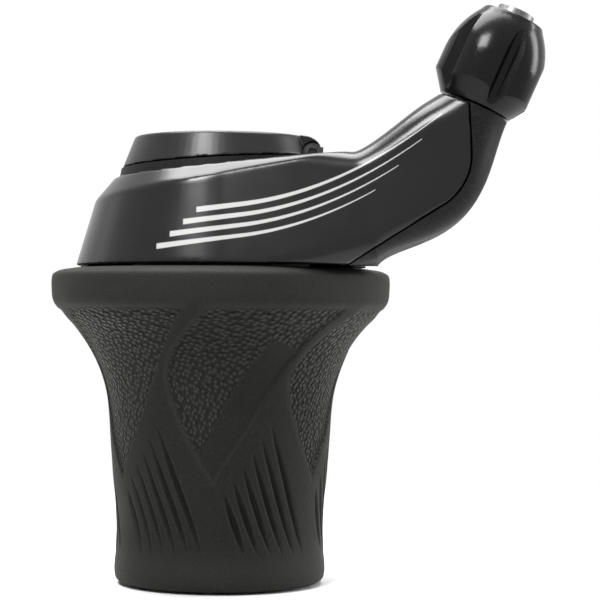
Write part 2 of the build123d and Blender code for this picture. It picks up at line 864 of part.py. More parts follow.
# Ring and washer that keep the grip on the sleeve
with BuildPart() as retaining_ring:
    with BuildSketch(Plane.XY.offset(retainer_base)):
        Circle(retainer_radius)
        Circle(sleeve_radius - retainer_depth + fixed_gap, mode=Mode.SUBTRACT)
        Polygon(
            *wedge(retainer_radius, 90 - retainer_opening / 2, 90 + retainer_opening / 2),
            align=None,
            mode=Mode.SUBTRACT,
        )
    extrude(amount=retainer_thickness)
retaining_ring.part.label = "retaining_ring"
export_step(retaining_ring.part, "parts/retaining_ring.step")

thrust_washer = tube(retainer_radius, sleeve_radius + fixed_gap, washer_base, washer_base + washer_thickness)
thrust_washer.label = "thrust_washer"
export_step(thrust_washer, "parts/thrust_washer.step")

# Core of the grip: a tube that turns on the sleeve, with a bell under the thumb rim
bell_radius = rim_lip_radius - seam_gap
core_top = spool_base - running_clearance
with BuildPart() as core_envelope:
    with BuildSketch(Plane.XZ):
        Polygon(
            (0, rubber_base),
            (core_radius + fixed_gap, rubber_base),
            (core_radius + fixed_gap, bell_height),
            (bell_radius + fixed_gap, bell_shoulder),
            (bell_radius + fixed_gap, rubber_top),
            (0, rubber_top),
            align=None,
        )
    revolve(axis=Axis.Z)

with BuildPart() as grip_core:
    with BuildSketch(Plane.XZ):
        Polygon(
            (core_bore, core_base),
            (core_radius, core_base),
            (core_radius, bell_height),
            (bell_radius, bell_shoulder),
            (bell_radius, bell_top),
            (bell_radius - bell_wall, bell_top),
            (bell_radius - bell_wall, bell_floor),
            (core_radius, bell_floor),
            (core_radius, core_top),
            (core_bore, core_top),
            align=None,
        )
    revolve(axis=Axis.Z)
    for index in range(dog_count):
        middle = index * 360 / dog_count
        start = middle - dog_angle / 2
        end = middle + dog_angle / 2
        add(sector(core_bore, core_radius, start, end, core_top - dog_height, spool_base + dog_height))
grip_core.part.label = "grip_core"
export_step(grip_core.part, "parts/grip_core.step")

# Rubber of the grip, with its fields and grooves all round
field = field_cut()
grooves = groove_cuts()
with BuildPart() as grip_rubber:
    add(rubber_form(0))
    add(core_envelope.part, mode=Mode.SUBTRACT)
    with PolarLocations(0, ridge_count):
        add(field, mode=Mode.SUBTRACT)
        add(grooves, mode=Mode.SUBTRACT)
grip_rubber.part.label = "grip_rubber"
export_step(grip_rubber.part, "parts/grip_rubber.step")

# Cable spool: a grooved drum with a pocket for the cable's head, driven by the dogs of the core
spool_floor = cable_radius - cable_size / 2
spool_post = core_bore + spool_post_wall
with BuildPart() as cable_spool:
    with BuildSketch(Plane.XZ):
        Polygon(
            (core_bore, spool_base),
            (spool_radius, spool_base),
            (spool_radius, groove_height - cable_groove / 2),
            (spool_floor, groove_height - cable_groove / 2),
            (spool_floor, groove_height + cable_groove / 2),
            (spool_radius, groove_height + cable_groove / 2),
            (spool_radius, spool_top),
            (spool_post, spool_top),
            (spool_post, spool_post_top),
            (core_bore, spool_post_top),
            align=None,
        )
    revolve(axis=Axis.Z)
    tab_start = stop_tab_angle - stop_tab_width / 2
    add(
        sector(
            spool_floor,
            spool_radius + stop_tab_reach,
            tab_start,
            tab_start + stop_tab_width,
            spool_base,
            spool_base + stop_tab_height,
        )
    )
    for index in range(dog_count):
        middle = index * 360 / dog_count
        start = middle - dog_angle / 2 - dog_play
        end = middle + dog_angle / 2 + dog_play
        slot_top = spool_base + dog_height + running_clearance
        slot_outer = core_radius + running_clearance
        add(sector(sleeve_radius, slot_outer, start, end, core_top, slot_top), mode=Mode.SUBTRACT)
    with BuildSketch(Plane.XY.offset(spool_base)):
        with Locations(turned_point(cable_radius - cable_size / 2, head_angle)):
            Circle(head_radius)
    extrude(amount=head_depth, mode=Mode.SUBTRACT)
cable_spool.part.label = "cable_spool"
export_step(cable_spool.part, "parts/cable_spool.step")

# Leaf spring on the spool, whose nose clicks into the index ring
leaf_inner = spool_post + fixed_gap
leaf_line = leaf_inner + leaf_thickness
with BuildPart() as index_spring:
    with BuildSketch(Plane.XY.offset(index_base + fixed_gap)):
        Circle(leaf_line)
        Circle(leaf_inner, mode=Mode.SUBTRACT)
        Polygon(
            *wedge(leaf_line, nose_angle - leaf_span / 2, nose_angle + leaf_span / 2),
            align=None,
            mode=Mode.INTERSECT,
        )
        with Locations(turned_point(leaf_line + nose_radius - fixed_gap, nose_angle)):
            Circle(nose_radius)
    extrude(amount=leaf_width)
index_spring.part.label = "index_spring"
export_step(index_spring.part, "parts/index_spring.step")

assist_plane = Plane.XY.offset(bell_floor + running_clearance + assist_wire / 2)
assist_spring = coil(assist_plane, assist_radius, assist_wire, assist_pitch, assist_turns)
assist_spring.label = "assist_spring"
export_step(assist_spring, "parts/assist_spring.step")

# Barrel adjuster: threaded insert in the arm, knob, keyed bolt and the spring that seats the knob
with BuildPart() as adjuster_insert:
    add(adjuster_cylinder(insert_radius, -insert_length, 0))
    add(adjuster_cylinder(thread_radius + thread_clearance, -insert_length, 0), mode=Mode.SUBTRACT)
adjuster_insert.part.label = "adjuster_insert"
export_step(adjuster_insert.part, "parts/adjuster_insert.step")

with BuildPart() as knob_form:
    with BuildSketch(adjuster_side):
        with BuildLine():
            side = Polyline(
                (0, knob_seat),
                (knob_foot_radius, knob_seat),
                (knob_radius, knob_seat + knob_chamfer),
                (knob_radius, knob_straight),
            )
            dome = TangentArc(side @ 1, (knob_shoulder_radius, knob_shoulder), tangent=side % 1)
            Polyline(dome @ 1, (knob_top_radius, knob_top), (0, knob_top), (0, knob_seat))
        make_face()
    revolve(axis=Axis(adjuster_foot, adjuster_axis))
with BuildSketch() as knob_lobe:
    with BuildLine():
        crown = ThreePointArc(
            (knob_radius - knob_lobe_crown, -knob_lobe_width / 2),
            (knob_radius, 0),
            (knob_radius - knob_lobe_crown, knob_lobe_width / 2),
        )
        Polyline(crown @ 1, (0, knob_lobe_width / 2), (0, -knob_lobe_width / 2), crown @ 0)
    make_face()
with BuildPart() as adjuster_knob:
    with BuildSketch(adjuster_plane):
        RegularPolygon(flute_floor, knob_lobes, major_radius=False, rotation=knob_lobe_angle)
        with PolarLocations(0, knob_lobes, start_angle=knob_lobe_angle):
            add(knob_lobe.sketch)
    extrude(amount=knob_top)
    add(knob_form.part, mode=Mode.INTERSECT)
    with BuildSketch(adjuster_plane.offset(knob_floor)):
        RegularPolygon(hex_width / 2 + hex_clearance, 6, major_radius=False)
    extrude(amount=knob_top, mode=Mode.SUBTRACT)
    add(adjuster_cylinder(thread_radius + running_clearance, 0, knob_top), mode=Mode.SUBTRACT)
adjuster_knob.part.label = "adjuster_knob"
export_step(adjuster_knob.part, "parts/adjuster_knob.step")

bolt_tip = knob_top + bolt_tip_proud
with BuildPart() as adjuster_bolt:
    add(adjuster_cylinder(thread_radius, -thread_engagement, bolt_flange_base))
    with BuildSketch(adjuster_plane.offset(bolt_flange_base)):
        RegularPolygon(hex_width / 2, 6, major_radius=False)
    extrude(amount=bolt_flange_height)
    add(adjuster_cylinder(bolt_tip_radius, bolt_flange_base, bolt_tip))
    add(adjuster_cylinder(cable_hole_radius, -thread_engagement, bolt_tip), mode=Mode.SUBTRACT)
    add(adjuster_cylinder(socket_radius, bolt_tip - socket_depth, bolt_tip), mode=Mode.SUBTRACT)
adjuster_bolt.part.label = "adjuster_bolt"
export_step(adjuster_bolt.part, "parts/adjuster_bolt.step")

adjuster_coil_room = bolt_flange_base - knob_floor - adjuster_wire - 2 * running_clearance
adjuster_spring = coil(
    adjuster_plane.offset(knob_floor + running_clearance + adjuster_wire / 2),
    adjuster_coil_radius,
    adjuster_wire,
    adjuster_coil_room / adjuster_turns,
    adjuster_turns,
)
adjuster_spring.label = "adjuster_spring"
export_step(adjuster_spring, "parts/adjuster_spring.step")
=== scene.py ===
import json
import math

import bpy
import numpy as np
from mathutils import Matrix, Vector


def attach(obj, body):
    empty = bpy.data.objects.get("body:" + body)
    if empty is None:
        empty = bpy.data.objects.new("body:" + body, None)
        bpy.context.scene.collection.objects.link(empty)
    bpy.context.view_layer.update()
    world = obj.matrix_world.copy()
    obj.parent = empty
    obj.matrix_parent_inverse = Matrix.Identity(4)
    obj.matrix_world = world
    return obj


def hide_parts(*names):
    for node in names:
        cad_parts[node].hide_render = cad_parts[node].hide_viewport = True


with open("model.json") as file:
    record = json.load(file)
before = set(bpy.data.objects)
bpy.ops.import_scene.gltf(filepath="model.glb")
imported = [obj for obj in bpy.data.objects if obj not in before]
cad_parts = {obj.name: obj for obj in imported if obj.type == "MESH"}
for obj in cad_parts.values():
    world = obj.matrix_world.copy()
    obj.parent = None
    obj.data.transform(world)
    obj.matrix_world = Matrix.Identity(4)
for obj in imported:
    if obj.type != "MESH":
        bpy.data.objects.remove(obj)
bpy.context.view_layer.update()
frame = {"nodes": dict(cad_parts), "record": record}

MM = 0.001

# Profile of the rubber grip from its outboard end to the lip of the thumb rim: radius and height in mm
GRIP_LOW = 0.4
GRIP_HIGH = 50.5
GRIP_PROFILE = [
    (15.65, 0.4), (16.25, 0.55), (16.7, 1.05), (16.84, 1.6), (16.72, 5.5), (16.62, 9.5), (16.75, 12.5),
    (17.25, 18.0), (17.68, 24.0), (17.95, 28.0), (18.19, 30.0), (18.62, 32.0), (19.26, 34.0), (20.12, 36.0),
    (21.23, 38.0), (22.65, 40.0), (23.97, 41.5), (24.99, 42.5), (26.1, 44.0), (26.85, 45.15), (27.07, 46.0),
    (27.12, 46.8), (27.12, 48.9), (27.0, 49.45), (26.5, 49.82), (23.6, 50.5),
]
# Edges of one ridge of the grip: height in mm and angle from the front in degrees
RIDGE_COUNT = 6
RIDGE_LEFT = [
    (16.4, -1.0), (18.6, 1.5), (21.8, 8.5), (24.6, 14.7), (27.0, 19.2), (29.2, 22.8), (32.4, 28.2),
    (33.6, 30.7), (36.0, 34.8), (37.6, 38.0), (39.6, 41.3), (41.5, 45.0), (43.6, 49.0), (45.0, 52.0),
]
RIDGE_RIGHT = [
    (16.4, 60.7), (18.6, 56.5), (20.3, 52.8), (22.0, 49.7), (23.8, 46.3), (26.1, 42.9), (28.3, 39.8),
    (30.6, 37.2), (32.2, 36.3), (34.6, 37.0), (36.4, 39.5), (37.6, 41.4), (39.4, 45.5), (41.2, 50.2),
    (43.0, 54.6), (45.0, 60.5),
]
# Smooth strip along the left of every second ridge
STRIP_WIDTH = 18.0
STRIP_LOW = 15.0
STRIP_HIGH = 39.4
STRIP_SLANT = 0.09
STRIP_RISE = 0.06
STRIP_PANEL = 1
FIELD_TOP = 44.2
FIELD_DEPTH = 0.35
RIDGE_EDGE = 0.55
GROOVE_COUNT = 6
GROOVE_DEPTH = 0.75
GROOVE_WIDTH = 1.25
GROOVE_FOOT = 6.0
GROOVE_LEAN = 19.2
# Top of the first and the last groove of a panel: angle and height
GROOVE_FIRST = (28.2, 26.4)
GROOVE_LAST = (4.3, 15.6)
# Colour marks on the rubber: paler on edges from wear, painted highlight on groove rims, painted shade in
# grooves and on the smooth ridges and strip
EDGE_WEAR = 0.45
GROOVE_RIM_HIGHLIGHT = 0.9
GROOVE_SHADE = 0.6
BAND_PAINTED_SHADE = 0.5
SHADED_BAND_FADE = 6.0
# Mesh of the rubber: columns round it, rows along its profile, and its inner wall as radius and height
GRIP_COLUMNS = 640
GRIP_CUTS = 128
INNER_WALL = [(14.3, GRIP_LOW), (14.3, 32.0), (23.4, 45.2), (23.4, GRIP_HIGH)]
# Pebbles of the fields, laid out on the rubber unrolled at one radius
PEBBLE_SIZE = 0.84
PEBBLE_TURN = 28
PEBBLE_HEIGHT = 0.72
UNROLL_RADIUS = 19
# Polished black of cover and collar
GLOSS_DARK = (0.003, 0.003, 0.0033)
GLOSS_LIGHT = (0.005, 0.005, 0.0054)
# Pinstripes printed on the front of the cover: base height, start and end in mm
STRIPES = [(54.6, -9.0, 24.0), (56.2, -7.0, 27.5), (57.8, -5.0, 31.0), (59.4, -3.0, 34.0)]
STRIPE_SLOPE = 0.13
STRIPE_BEND = 0.011
STRIPE_BEND_START = 4.0
STRIPE_HALF_WIDTHS = (0.42, 0.06)
STRIPE_EDGE = 0.06
STRIPE_END = 0.08
STRIPE_FRONT = (-16.2, -15.8)
STRIPE_COLOR = (0.5, 0.5, 0.49)
# Camera and lamps: places and sizes in mm, power in watts
CAMERA_PLACE = (12.74, -330, 43.3)
CAMERA_LENS = 122.8
CAMERA_ROLL = -0.32
CAMERA_RISE = 14 / 600
LAMPS = [
    ("key_lamp", (-135, -290, 405), (0, 0, 60), (130, 150), 2.3),
    ("left_edge_lamp", (-420, 160, 110), (0, 0, 45), (120, 260), 0.05),
    ("right_edge_lamp", (440, 60, 160), (20, 0, 55), (120, 300), 1.3),
    ("top_lamp", (0, 70, 420), (0, -5, 60), (380, 240), 3.9),
]
FLOOR_RADIUS = 0.5
FLOOR_FADE = (0.03, 0.2)
ROOM_LIGHT = 0.34


# Selecting and finishing


def select_only(piece):
    """Leaves one piece selected and active."""
    bpy.ops.object.select_all(action="DESELECT")
    piece.select_set(True)
    bpy.context.view_layer.objects.active = piece


def edit(piece):
    """Opens a piece in edit mode with nothing selected."""
    select_only(piece)
    bpy.ops.object.mode_set(mode="EDIT")
    bpy.ops.mesh.select_mode(type="VERT")
    bpy.ops.mesh.select_all(action="DESELECT")


def close_edit():
    bpy.ops.object.mode_set(mode="OBJECT")


def merged_copy(node, name):
    """A copy of a CAD node with its seams merged."""
    select_only(frame["nodes"][node])
    bpy.ops.object.duplicate(linked=False)
    piece = bpy.context.view_layer.objects.active
    piece.name = name
    piece.parent = None
    bpy.ops.object.mode_set(mode="EDIT")
    bpy.ops.mesh.select_all(action="SELECT")
    bpy.ops.mesh.remove_doubles(threshold=0.002 * MM)
    close_edit()
    return piece


def edged_copy(node, name, edge, sharp, body):
    """A copy with its edges broken where faces meet at more than the sharp angle."""
    piece = merged_copy(node, name)
    rounding = piece.modifiers.new("rounded_edges", "BEVEL")
    rounding.width = edge * MM
    rounding.segments = 2
    rounding.limit_method = "ANGLE"
    rounding.angle_limit = math.radians(sharp)
    bpy.ops.object.modifier_apply(modifier=rounding.name)
    bpy.ops.object.shade_smooth_by_angle(angle=math.radians(sharp))
    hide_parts(node)
    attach(piece, body)
    return piece


def moulded_copy(node, name, step, softness, body):
    """A copy with an even fine mesh, softened like a moulded surface."""
    piece = merged_copy(node, name)
    even = piece.modifiers.new("even_mesh", "REMESH")
    even.mode = "VOXEL"
    even.voxel_size = step * MM
    even.adaptivity = 0
    bpy.ops.object.modifier_apply(modifier=even.name)
    soft = piece.modifiers.new("softened", "SMOOTH")
    soft.factor = 0.5
    soft.iterations = softness
    bpy.ops.object.modifier_apply(modifier=soft.name)
    bpy.ops.object.shade_smooth()
    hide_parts(node)
    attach(piece, body)
    return piece


# Materials


def start_finish(name, color, roughness, metallic=0.0, specular=0.5):
    """A new material with its plain values on the shader."""
    finish = bpy.data.materials.new(name)
    finish.use_nodes = True
    shader = finish.node_tree.nodes["Principled BSDF"]
    shader.inputs["Base Color"].default_value = (*color, 1)
    shader.inputs["Roughness"].default_value = roughness
    shader.inputs["Metallic"].default_value = metallic
    shader.inputs["Specular IOR Level"].default_value = specular
    return finish, shader


def add_node(finish, kind, **values):
    node = finish.node_tree.nodes.new(kind)
    for key, value in values.items():
        setattr(node, key, value)
    return node


def join(finish, source, target):
    finish.node_tree.links.new(source, target)


def object_points(finish, scale=(1, 1, 1), turn=(0, 0, 0)):
    """Object coordinates, stretched or turned."""
    coords = add_node(finish, "ShaderNodeTexCoord")
    mapping = add_node(finish, "ShaderNodeMapping")
    mapping.inputs["Scale"].default_value = scale
    mapping.inputs["Rotation"].default_value = turn
    join(finish, coords.outputs["Object"], mapping.inputs["Vector"])
    return mapping.outputs["Vector"]


def grain(finish, points, size, detail=3.0, roughness=0.5):
    """Noise whose grains are about this size in mm."""
    noise = add_node(finish, "ShaderNodeTexNoise")
    noise.inputs["Scale"].default_value = 1 / (size * MM)
    noise.inputs["Detail"].default_value = detail
    noise.inputs["Roughness"].default_value = roughness
    join(finish, points, noise.inputs["Vector"])
    return noise.outputs["Fac"]


def pebbles(finish, points, size):
    """Rounded bumps of this size in mm on flat coordinates, high in the middle."""
    cells = add_node(finish, "ShaderNodeTexVoronoi", voronoi_dimensions="2D", feature="SMOOTH_F1")
    cells.inputs["Scale"].default_value = 1 / size
    cells.inputs["Smoothness"].default_value = 0.15
    cells.inputs["Randomness"].default_value = 0.62
    join(finish, points, cells.inputs["Vector"])
    return cells.outputs["Distance"]


def stretch(finish, value, low, high, new_low, new_high):
    """The value mapped from one range to another."""
    ranged = add_node(finish, "ShaderNodeMapRange")
    ranged.inputs["From Min"].default_value = low
    ranged.inputs["From Max"].default_value = high
    ranged.inputs["To Min"].default_value = new_low
    ranged.inputs["To Max"].default_value = new_high
    join(finish, value, ranged.inputs["Value"])
    return ranged.outputs["Result"]


def sums(finish, operation, first, second):
    """A math node on two values, each a socket or a number."""
    node = add_node(finish, "ShaderNodeMath", operation=operation)
    for index, value in enumerate((first, second)):
        if isinstance(value, (int, float)):
            node.inputs[index].default_value = value
        else:
            join(finish, value, node.inputs[index])
    return node.outputs["Value"]


def socket_named(sockets, identifier):
    return [socket for socket in sockets if socket.identifier == identifier][0]


def mixed_colors(finish, share, first, second):
    """A colour between two, by a share; each colour is a socket or three numbers."""
    mix = add_node(finish, "ShaderNodeMix", data_type="RGBA")
    for identifier, color in (("A_Color", first), ("B_Color", second)):
        socket = socket_named(mix.inputs, identifier)
        if isinstance(color, tuple):
            socket.default_value = (*color, 1)
        else:
            join(finish, color, socket)
    join(finish, share, socket_named(mix.inputs, "Factor_Float"))
    return socket_named(mix.outputs, "Result_Color")


def raise_surface(finish, shader, height, depth, strength=1.0):
    """Bump of a height value, its full depth in mm."""
    bump = add_node(finish, "ShaderNodeBump")
    bump.inputs["Distance"].default_value = depth * MM
    bump.inputs["Strength"].default_value = strength
    join(finish, height, bump.inputs["Height"])
    join(finish, bump.outputs["Normal"], shader.inputs["Normal"])


def moulded_finish(name, dark, light, rough_low, rough_high, size, depth, specular=0.5):
    """Moulded plastic: fine speckle in its colour, gloss and surface."""
    finish, shader = start_finish(name, dark, rough_high, specular=specular)
    points = object_points(finish)
    speckle = grain(finish, points, size)
    cloud = grain(finish, points, 30 * size, 2.0)
    share = stretch(finish, speckle, 0.35, 0.68, 0, 1)
    join(finish, mixed_colors(finish, share, dark, light), shader.inputs["Base Color"])
    join(finish, stretch(finish, cloud, 0.35, 0.65, rough_low, rough_high), shader.inputs["Roughness"])
    raise_surface(finish, shader, speckle, depth)
    return finish


def metal_finish(name, dark, light, roughness, size, along=(1, 1, 1)):
    """Machined metal with fine marks."""
    finish, shader = start_finish(name, dark, roughness, metallic=1.0)
    points = object_points(finish, scale=along)
    marks = grain(finish, points, size)
    share = stretch(finish, marks, 0.3, 0.7, 0, 1)
    join(finish, mixed_colors(finish, share, dark, light), shader.inputs["Base Color"])
    dull = stretch(finish, marks, 0.3, 0.7, roughness - 0.08, roughness + 0.08)
    join(finish, dull, shader.inputs["Roughness"])
    raise_surface(finish, shader, marks, 0.002)
    return finish


def surface_share(finish, name):
    """A value painted on the mesh."""
    painted = add_node(finish, "ShaderNodeAttribute", attribute_name=name)
    return painted.outputs["Fac"]


def surface_place(finish, name, turn):
    """Flat coordinates painted on the mesh, turned in their plane."""
    painted = add_node(finish, "ShaderNodeAttribute", attribute_name=name)
    mapping = add_node(finish, "ShaderNodeMapping")
    mapping.inputs["Rotation"].default_value = (0, 0, turn)
    join(finish, painted.outputs["Vector"], mapping.inputs["Vector"])
    return mapping.outputs["Vector"]


def grip_rubber_finish():
    """Matte rubber: pebbled on the mesh's painted fields, paler from edge wear, with painted highlights and
    painted shade.
    """
    finish, shader = start_finish("grip_rubber", (0.022, 0.0215, 0.02), 0.6, specular=0.1)
    points = object_points(finish)
    field = surface_share(finish, "field")
    # Edge wear, with painted highlight on groove rims and painted shade in grooves and on smooth rubber
    wear_and_painted_light = surface_share(finish, "wear_and_painted_light")
    cells = pebbles(finish, surface_place(finish, "unrolled", math.radians(PEBBLE_TURN)), PEBBLE_SIZE)
    fine = grain(finish, points, 0.22, 3.0, 0.6)
    cloud = grain(finish, points, 5.0, 2.0)
    crowns = stretch(finish, cells, 0.12, 0.58, 1, 0)
    pebbled = sums(finish, "MULTIPLY", crowns, field)
    # Pebble tops painted paler, a painted highlight
    pebble_top_highlight = sums(finish, "MULTIPLY", stretch(finish, cells, 0.2, 0.6, 1, 0), field)
    paler = sums(finish, "ADD", sums(finish, "MULTIPLY", wear_and_painted_light, 0.4), sums(finish, "MULTIPLY", pebble_top_highlight, 0.66))
    paler = sums(finish, "ADD", paler, sums(finish, "MULTIPLY", cloud, 0.2))
    # Painted shade in the gaps between the pebbles
    pebble_gap_shade = sums(finish, "SUBTRACT", field, pebble_top_highlight)
    paler = sums(finish, "SUBTRACT", paler, sums(finish, "MULTIPLY", pebble_gap_shade, 0.22))
    paler = sums(finish, "ADD", paler, stretch(finish, fine, 0.3, 0.7, 0.1, 0.4))
    color = mixed_colors(finish, paler, (0.005, 0.0049, 0.0045), (0.041, 0.0403, 0.0372))
    join(finish, color, shader.inputs["Base Color"])
    dull = stretch(finish, cloud, 0.3, 0.7, 0.55, 0.65)
    dull = sums(finish, "SUBTRACT", dull, sums(finish, "MULTIPLY", pebbled, 0.16))
    join(finish, dull, shader.inputs["Roughness"])
    height = sums(finish, "ADD", pebbled, sums(finish, "MULTIPLY", fine, 0.14))
    raise_surface(finish, shader, height, PEBBLE_HEIGHT)
    return finish


# Rubber grip


def smooth_between(heights, points):
    """Smooth curve through points of (height, value)."""
    place = np.array([point[0] for point in points])
    value = np.array([point[1] for point in points])
    slope = np.gradient(value, place)
    index = np.clip(np.searchsorted(place, heights) - 1, 0, len(place) - 2)
    span = place[index + 1] - place[index]
    share = np.clip((heights - place[index]) / span, 0, 1)
    start = (1 + 2 * share) * (1 - share) ** 2
    leave = share * (1 - share) ** 2
    end = share**2 * (3 - 2 * share)
    arrive = share**2 * (share - 1)
    first = start * value[index] + leave * span * slope[index]
    return first + end * value[index + 1] + arrive * span * slope[index + 1]


def soft_step(value, edge):
    """0 below, 1 above, soft over the edge width."""
    share = np.clip(value / edge + 0.5, 0, 1)
    return share * share * (3 - 2 * share)


def grip_relief(angle, height, radius):
    """Depth below the smooth form, field share and a value of wear and painted light, for angles from the
    front in degrees.

    Above 0: edge wear, and painted highlight on groove rims; below 0: painted shade in grooves and on smooth
    ridges and strip.
    """
    repeat = 360 / RIDGE_COUNT
    degree = np.radians(1) * radius
    left = smooth_between(height, RIDGE_LEFT)
    right = smooth_between(height, RIDGE_RIGHT)
    width = right - left
    turned = np.mod(angle - left, repeat)
    past_right = (turned - width) * degree
    before_left = (repeat - turned) * degree
    inside = np.minimum(past_right, before_left)
    inside = np.minimum(inside, FIELD_TOP - height)
    inside = np.where(width >= repeat, -1.0, inside)
    field = soft_step(inside - RIDGE_EDGE / 2, RIDGE_EDGE)
    wear_and_painted_light = np.exp(-((inside + 0.15) / 0.4) ** 2)
    depth = FIELD_DEPTH * field
    panel = np.mod(np.floor((angle - left) / repeat), 2)
    across = STRIP_WIDTH - (repeat - turned)
    below_top = STRIP_HIGH - STRIP_SLANT * across - height
    in_strip = np.minimum(across * degree, np.minimum(below_top, height - STRIP_LOW))
    strip = soft_step(in_strip, RIDGE_EDGE) * (panel == STRIP_PANEL)
    depth = depth - STRIP_RISE * strip * field
    pebbled = field * (1 - strip)
    groove = np.zeros_like(depth)
    rim = np.zeros_like(depth)
    for index in range(GROOVE_COUNT):
        share = index / (GROOVE_COUNT - 1)
        top_angle = GROOVE_FIRST[0] + (GROOVE_LAST[0] - GROOVE_FIRST[0]) * share
        top_height = GROOVE_FIRST[1] + (GROOVE_LAST[1] - GROOVE_FIRST[1]) * share
        along = (top_height - height) / (top_height - GROOVE_FOOT)
        middle = top_angle + np.degrees((top_height - height) * math.tan(math.radians(GROOVE_LEAN)) / radius)
        side = (np.mod(angle - middle + repeat / 2, repeat) - repeat / 2) * degree
        reach = np.sin(np.pi * np.clip(along, 0, 1)) ** 0.6
        half = GROOVE_WIDTH / 2 * reach + 1e-6
        bowl = np.clip(1 - (side / half) ** 2, 0, 1) * reach
        groove = np.maximum(groove, bowl)
        rim = np.maximum(rim, np.exp(-((np.abs(side) - half) / 0.16) ** 2) * reach)
    # Band of painted shade on the smooth rubber, fading out below the field top and above the groove foot
    shaded_band = soft_step(FIELD_TOP - height, SHADED_BAND_FADE) * soft_step(height - GROOVE_FOOT, SHADED_BAND_FADE)
    # Paler from wear on edges, and a painted highlight on the groove rims
    pale = np.maximum(wear_and_painted_light * EDGE_WEAR, rim * GROOVE_RIM_HIGHLIGHT)
    # Painted shade in the grooves and on the smooth ridges and strip
    dark = groove * GROOVE_SHADE + BAND_PAINTED_SHADE * shaded_band * (1 - pebbled)
    wear_and_painted_light = np.clip(pale - dark, -1, 1)
    return depth + GROOVE_DEPTH * groove, pebbled, wear_and_painted_light


def rubber_grip():
    """The grip's rubber: a fine tube shaped to its profile, with fields, ridges and grooves pressed in."""
    bpy.ops.object.select_all(action="DESELECT")
    bpy.ops.mesh.primitive_cylinder_add(
        vertices=GRIP_COLUMNS,
        radius=18 * MM,
        depth=(GRIP_HIGH - GRIP_LOW) * MM,
        end_fill_type="NOTHING",
        location=(0, 0, (GRIP_HIGH + GRIP_LOW) / 2 * MM),
    )
    piece = bpy.context.view_layer.objects.active
    piece.name = "rubber_grip"
    bpy.ops.object.transform_apply(location=True, rotation=True, scale=True)
    bpy.ops.object.mode_set(mode="EDIT")
    bpy.ops.mesh.select_mode(type="EDGE")
    bpy.ops.mesh.select_all(action="DESELECT")
    close_edit()
    mesh = piece.data
    for line in mesh.edges:
        ends = [mesh.vertices[index].co.z for index in line.vertices]
        line.select = abs(ends[0] - ends[1]) > MM
    bpy.ops.object.mode_set(mode="EDIT")
    bpy.ops.mesh.subdivide_edgering(number_cuts=GRIP_CUTS, interpolation="LINEAR", smoothness=0)
    close_edit()

    # Rows move to even steps along the profile, then in by the relief
    steps = profile_steps(GRIP_CUTS + 2)
    points = np.empty(len(mesh.vertices) * 3)
    mesh.vertices.foreach_get("co", points)
    points = points.reshape(-1, 3)
    row = np.rint((points[:, 2] / MM - GRIP_LOW) / (GRIP_HIGH - GRIP_LOW) * (GRIP_CUTS + 1)).astype(int)
    radius = steps[row, 0]
    height = steps[row, 1]
    angle = np.degrees(np.arctan2(points[:, 0], -points[:, 1]))
    depth, field, wear_and_painted_light = grip_relief(angle, height, radius)
    inward = radius - depth
    turn = np.radians(angle)
    moved = np.stack([inward * np.sin(turn), -inward * np.cos(turn), height], axis=1) * MM
    mesh.vertices.foreach_set("co", moved.ravel())
    mesh.update()

    # Inner wall, from the outboard end up to the lip
    pull_inner_wall(piece, row == 0)
    paint(piece, "field", field)
    # Wear and painted light: edge wear and painted highlight above 0, painted shade below 0
    paint(piece, "wear_and_painted_light", wear_and_painted_light)
    places = np.stack([turn * UNROLL_RADIUS, steps[row, 2], np.zeros(len(row))], axis=1)
    paint_places(piece, "unrolled", places)
    select_only(piece)
    bpy.ops.object.shade_smooth_by_angle(angle=math.radians(60))
    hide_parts("grip_rubber")
    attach(piece, "grip")
    return piece


def profile_steps(count):
    """Even steps along the grip's profile, as (radius, height, length from the start)."""
    profile = np.array(GRIP_PROFILE)
    runs = np.hypot(*np.diff(profile, axis=0).T)
    place = np.concatenate([[0], np.cumsum(runs)])
    even = np.linspace(0, place[-1], count)
    radius = smooth_between(even, list(zip(place, profile[:, 0])))
    height = smooth_between(even, list(zip(place, profile[:, 1])))
    return np.stack([radius, height, even], axis=1)


def pull_inner_wall(piece, start_line):
    """Extrudes the end loop of the grip inwards and up to close its inner side."""
    mesh = piece.data
    edit(piece)
    close_edit()
    for vertex in mesh.vertices:
        vertex.select = bool(start_line[vertex.index])
    for line in mesh.edges:
        line.select = all(start_line[index] for index in line.vertices)
    bpy.ops.object.mode_set(mode="EDIT")
    for radius, height in INNER_WALL:
        bpy.ops.mesh.extrude_edges_move()
        close_edit()
        for vertex in mesh.vertices:
            if vertex.select:
                reach = math.hypot(vertex.co.x, vertex.co.y)
                vertex.co.x *= radius * MM / reach
                vertex.co.y *= radius * MM / reach
                vertex.co.z = height * MM
        bpy.ops.object.mode_set(mode="EDIT")
    bpy.ops.mesh.select_all(action="DESELECT")
    bpy.ops.mesh.select_non_manifold(extend=False)
    bpy.ops.mesh.bridge_edge_loops()
    bpy.ops.mesh.select_all(action="SELECT")
    bpy.ops.mesh.normals_make_consistent(inside=False)
    close_edit()


def paint(piece, name, values):
    """Keeps a value for each vertex on the mesh; later vertices get none."""
    layer = piece.data.attributes.new(name, "FLOAT", "POINT")
    full = np.zeros(len(piece.data.vertices))
    full[: len(values)] = values
    layer.data.foreach_set("value", full)


def paint_places(piece, name, places):
    """Keeps a flat place for each vertex on the mesh; later vertices get none."""
    layer = piece.data.attributes.new(name, "FLOAT_VECTOR", "POINT")
    full = np.zeros((len(piece.data.vertices), 3))
    full[: len(places)] = places
    layer.data.foreach_set("vector", full.ravel())


def clothe(piece, finish):
    piece.data.materials.clear()
    piece.data.materials.append(finish)


grip = rubber_grip()
clothe(grip, grip_rubber_finish())

# Gloss and matte plastic parts


def limits(finish, value, low, high, edge):
    """1 where the value lies between two limits, soft over the edge width."""
    rise = stretch(finish, value, low - edge, low + edge, 0, 1)
    fall = stretch(finish, value, high - edge, high + edge, 1, 0)
    return sums(finish, "MULTIPLY", rise, fall)


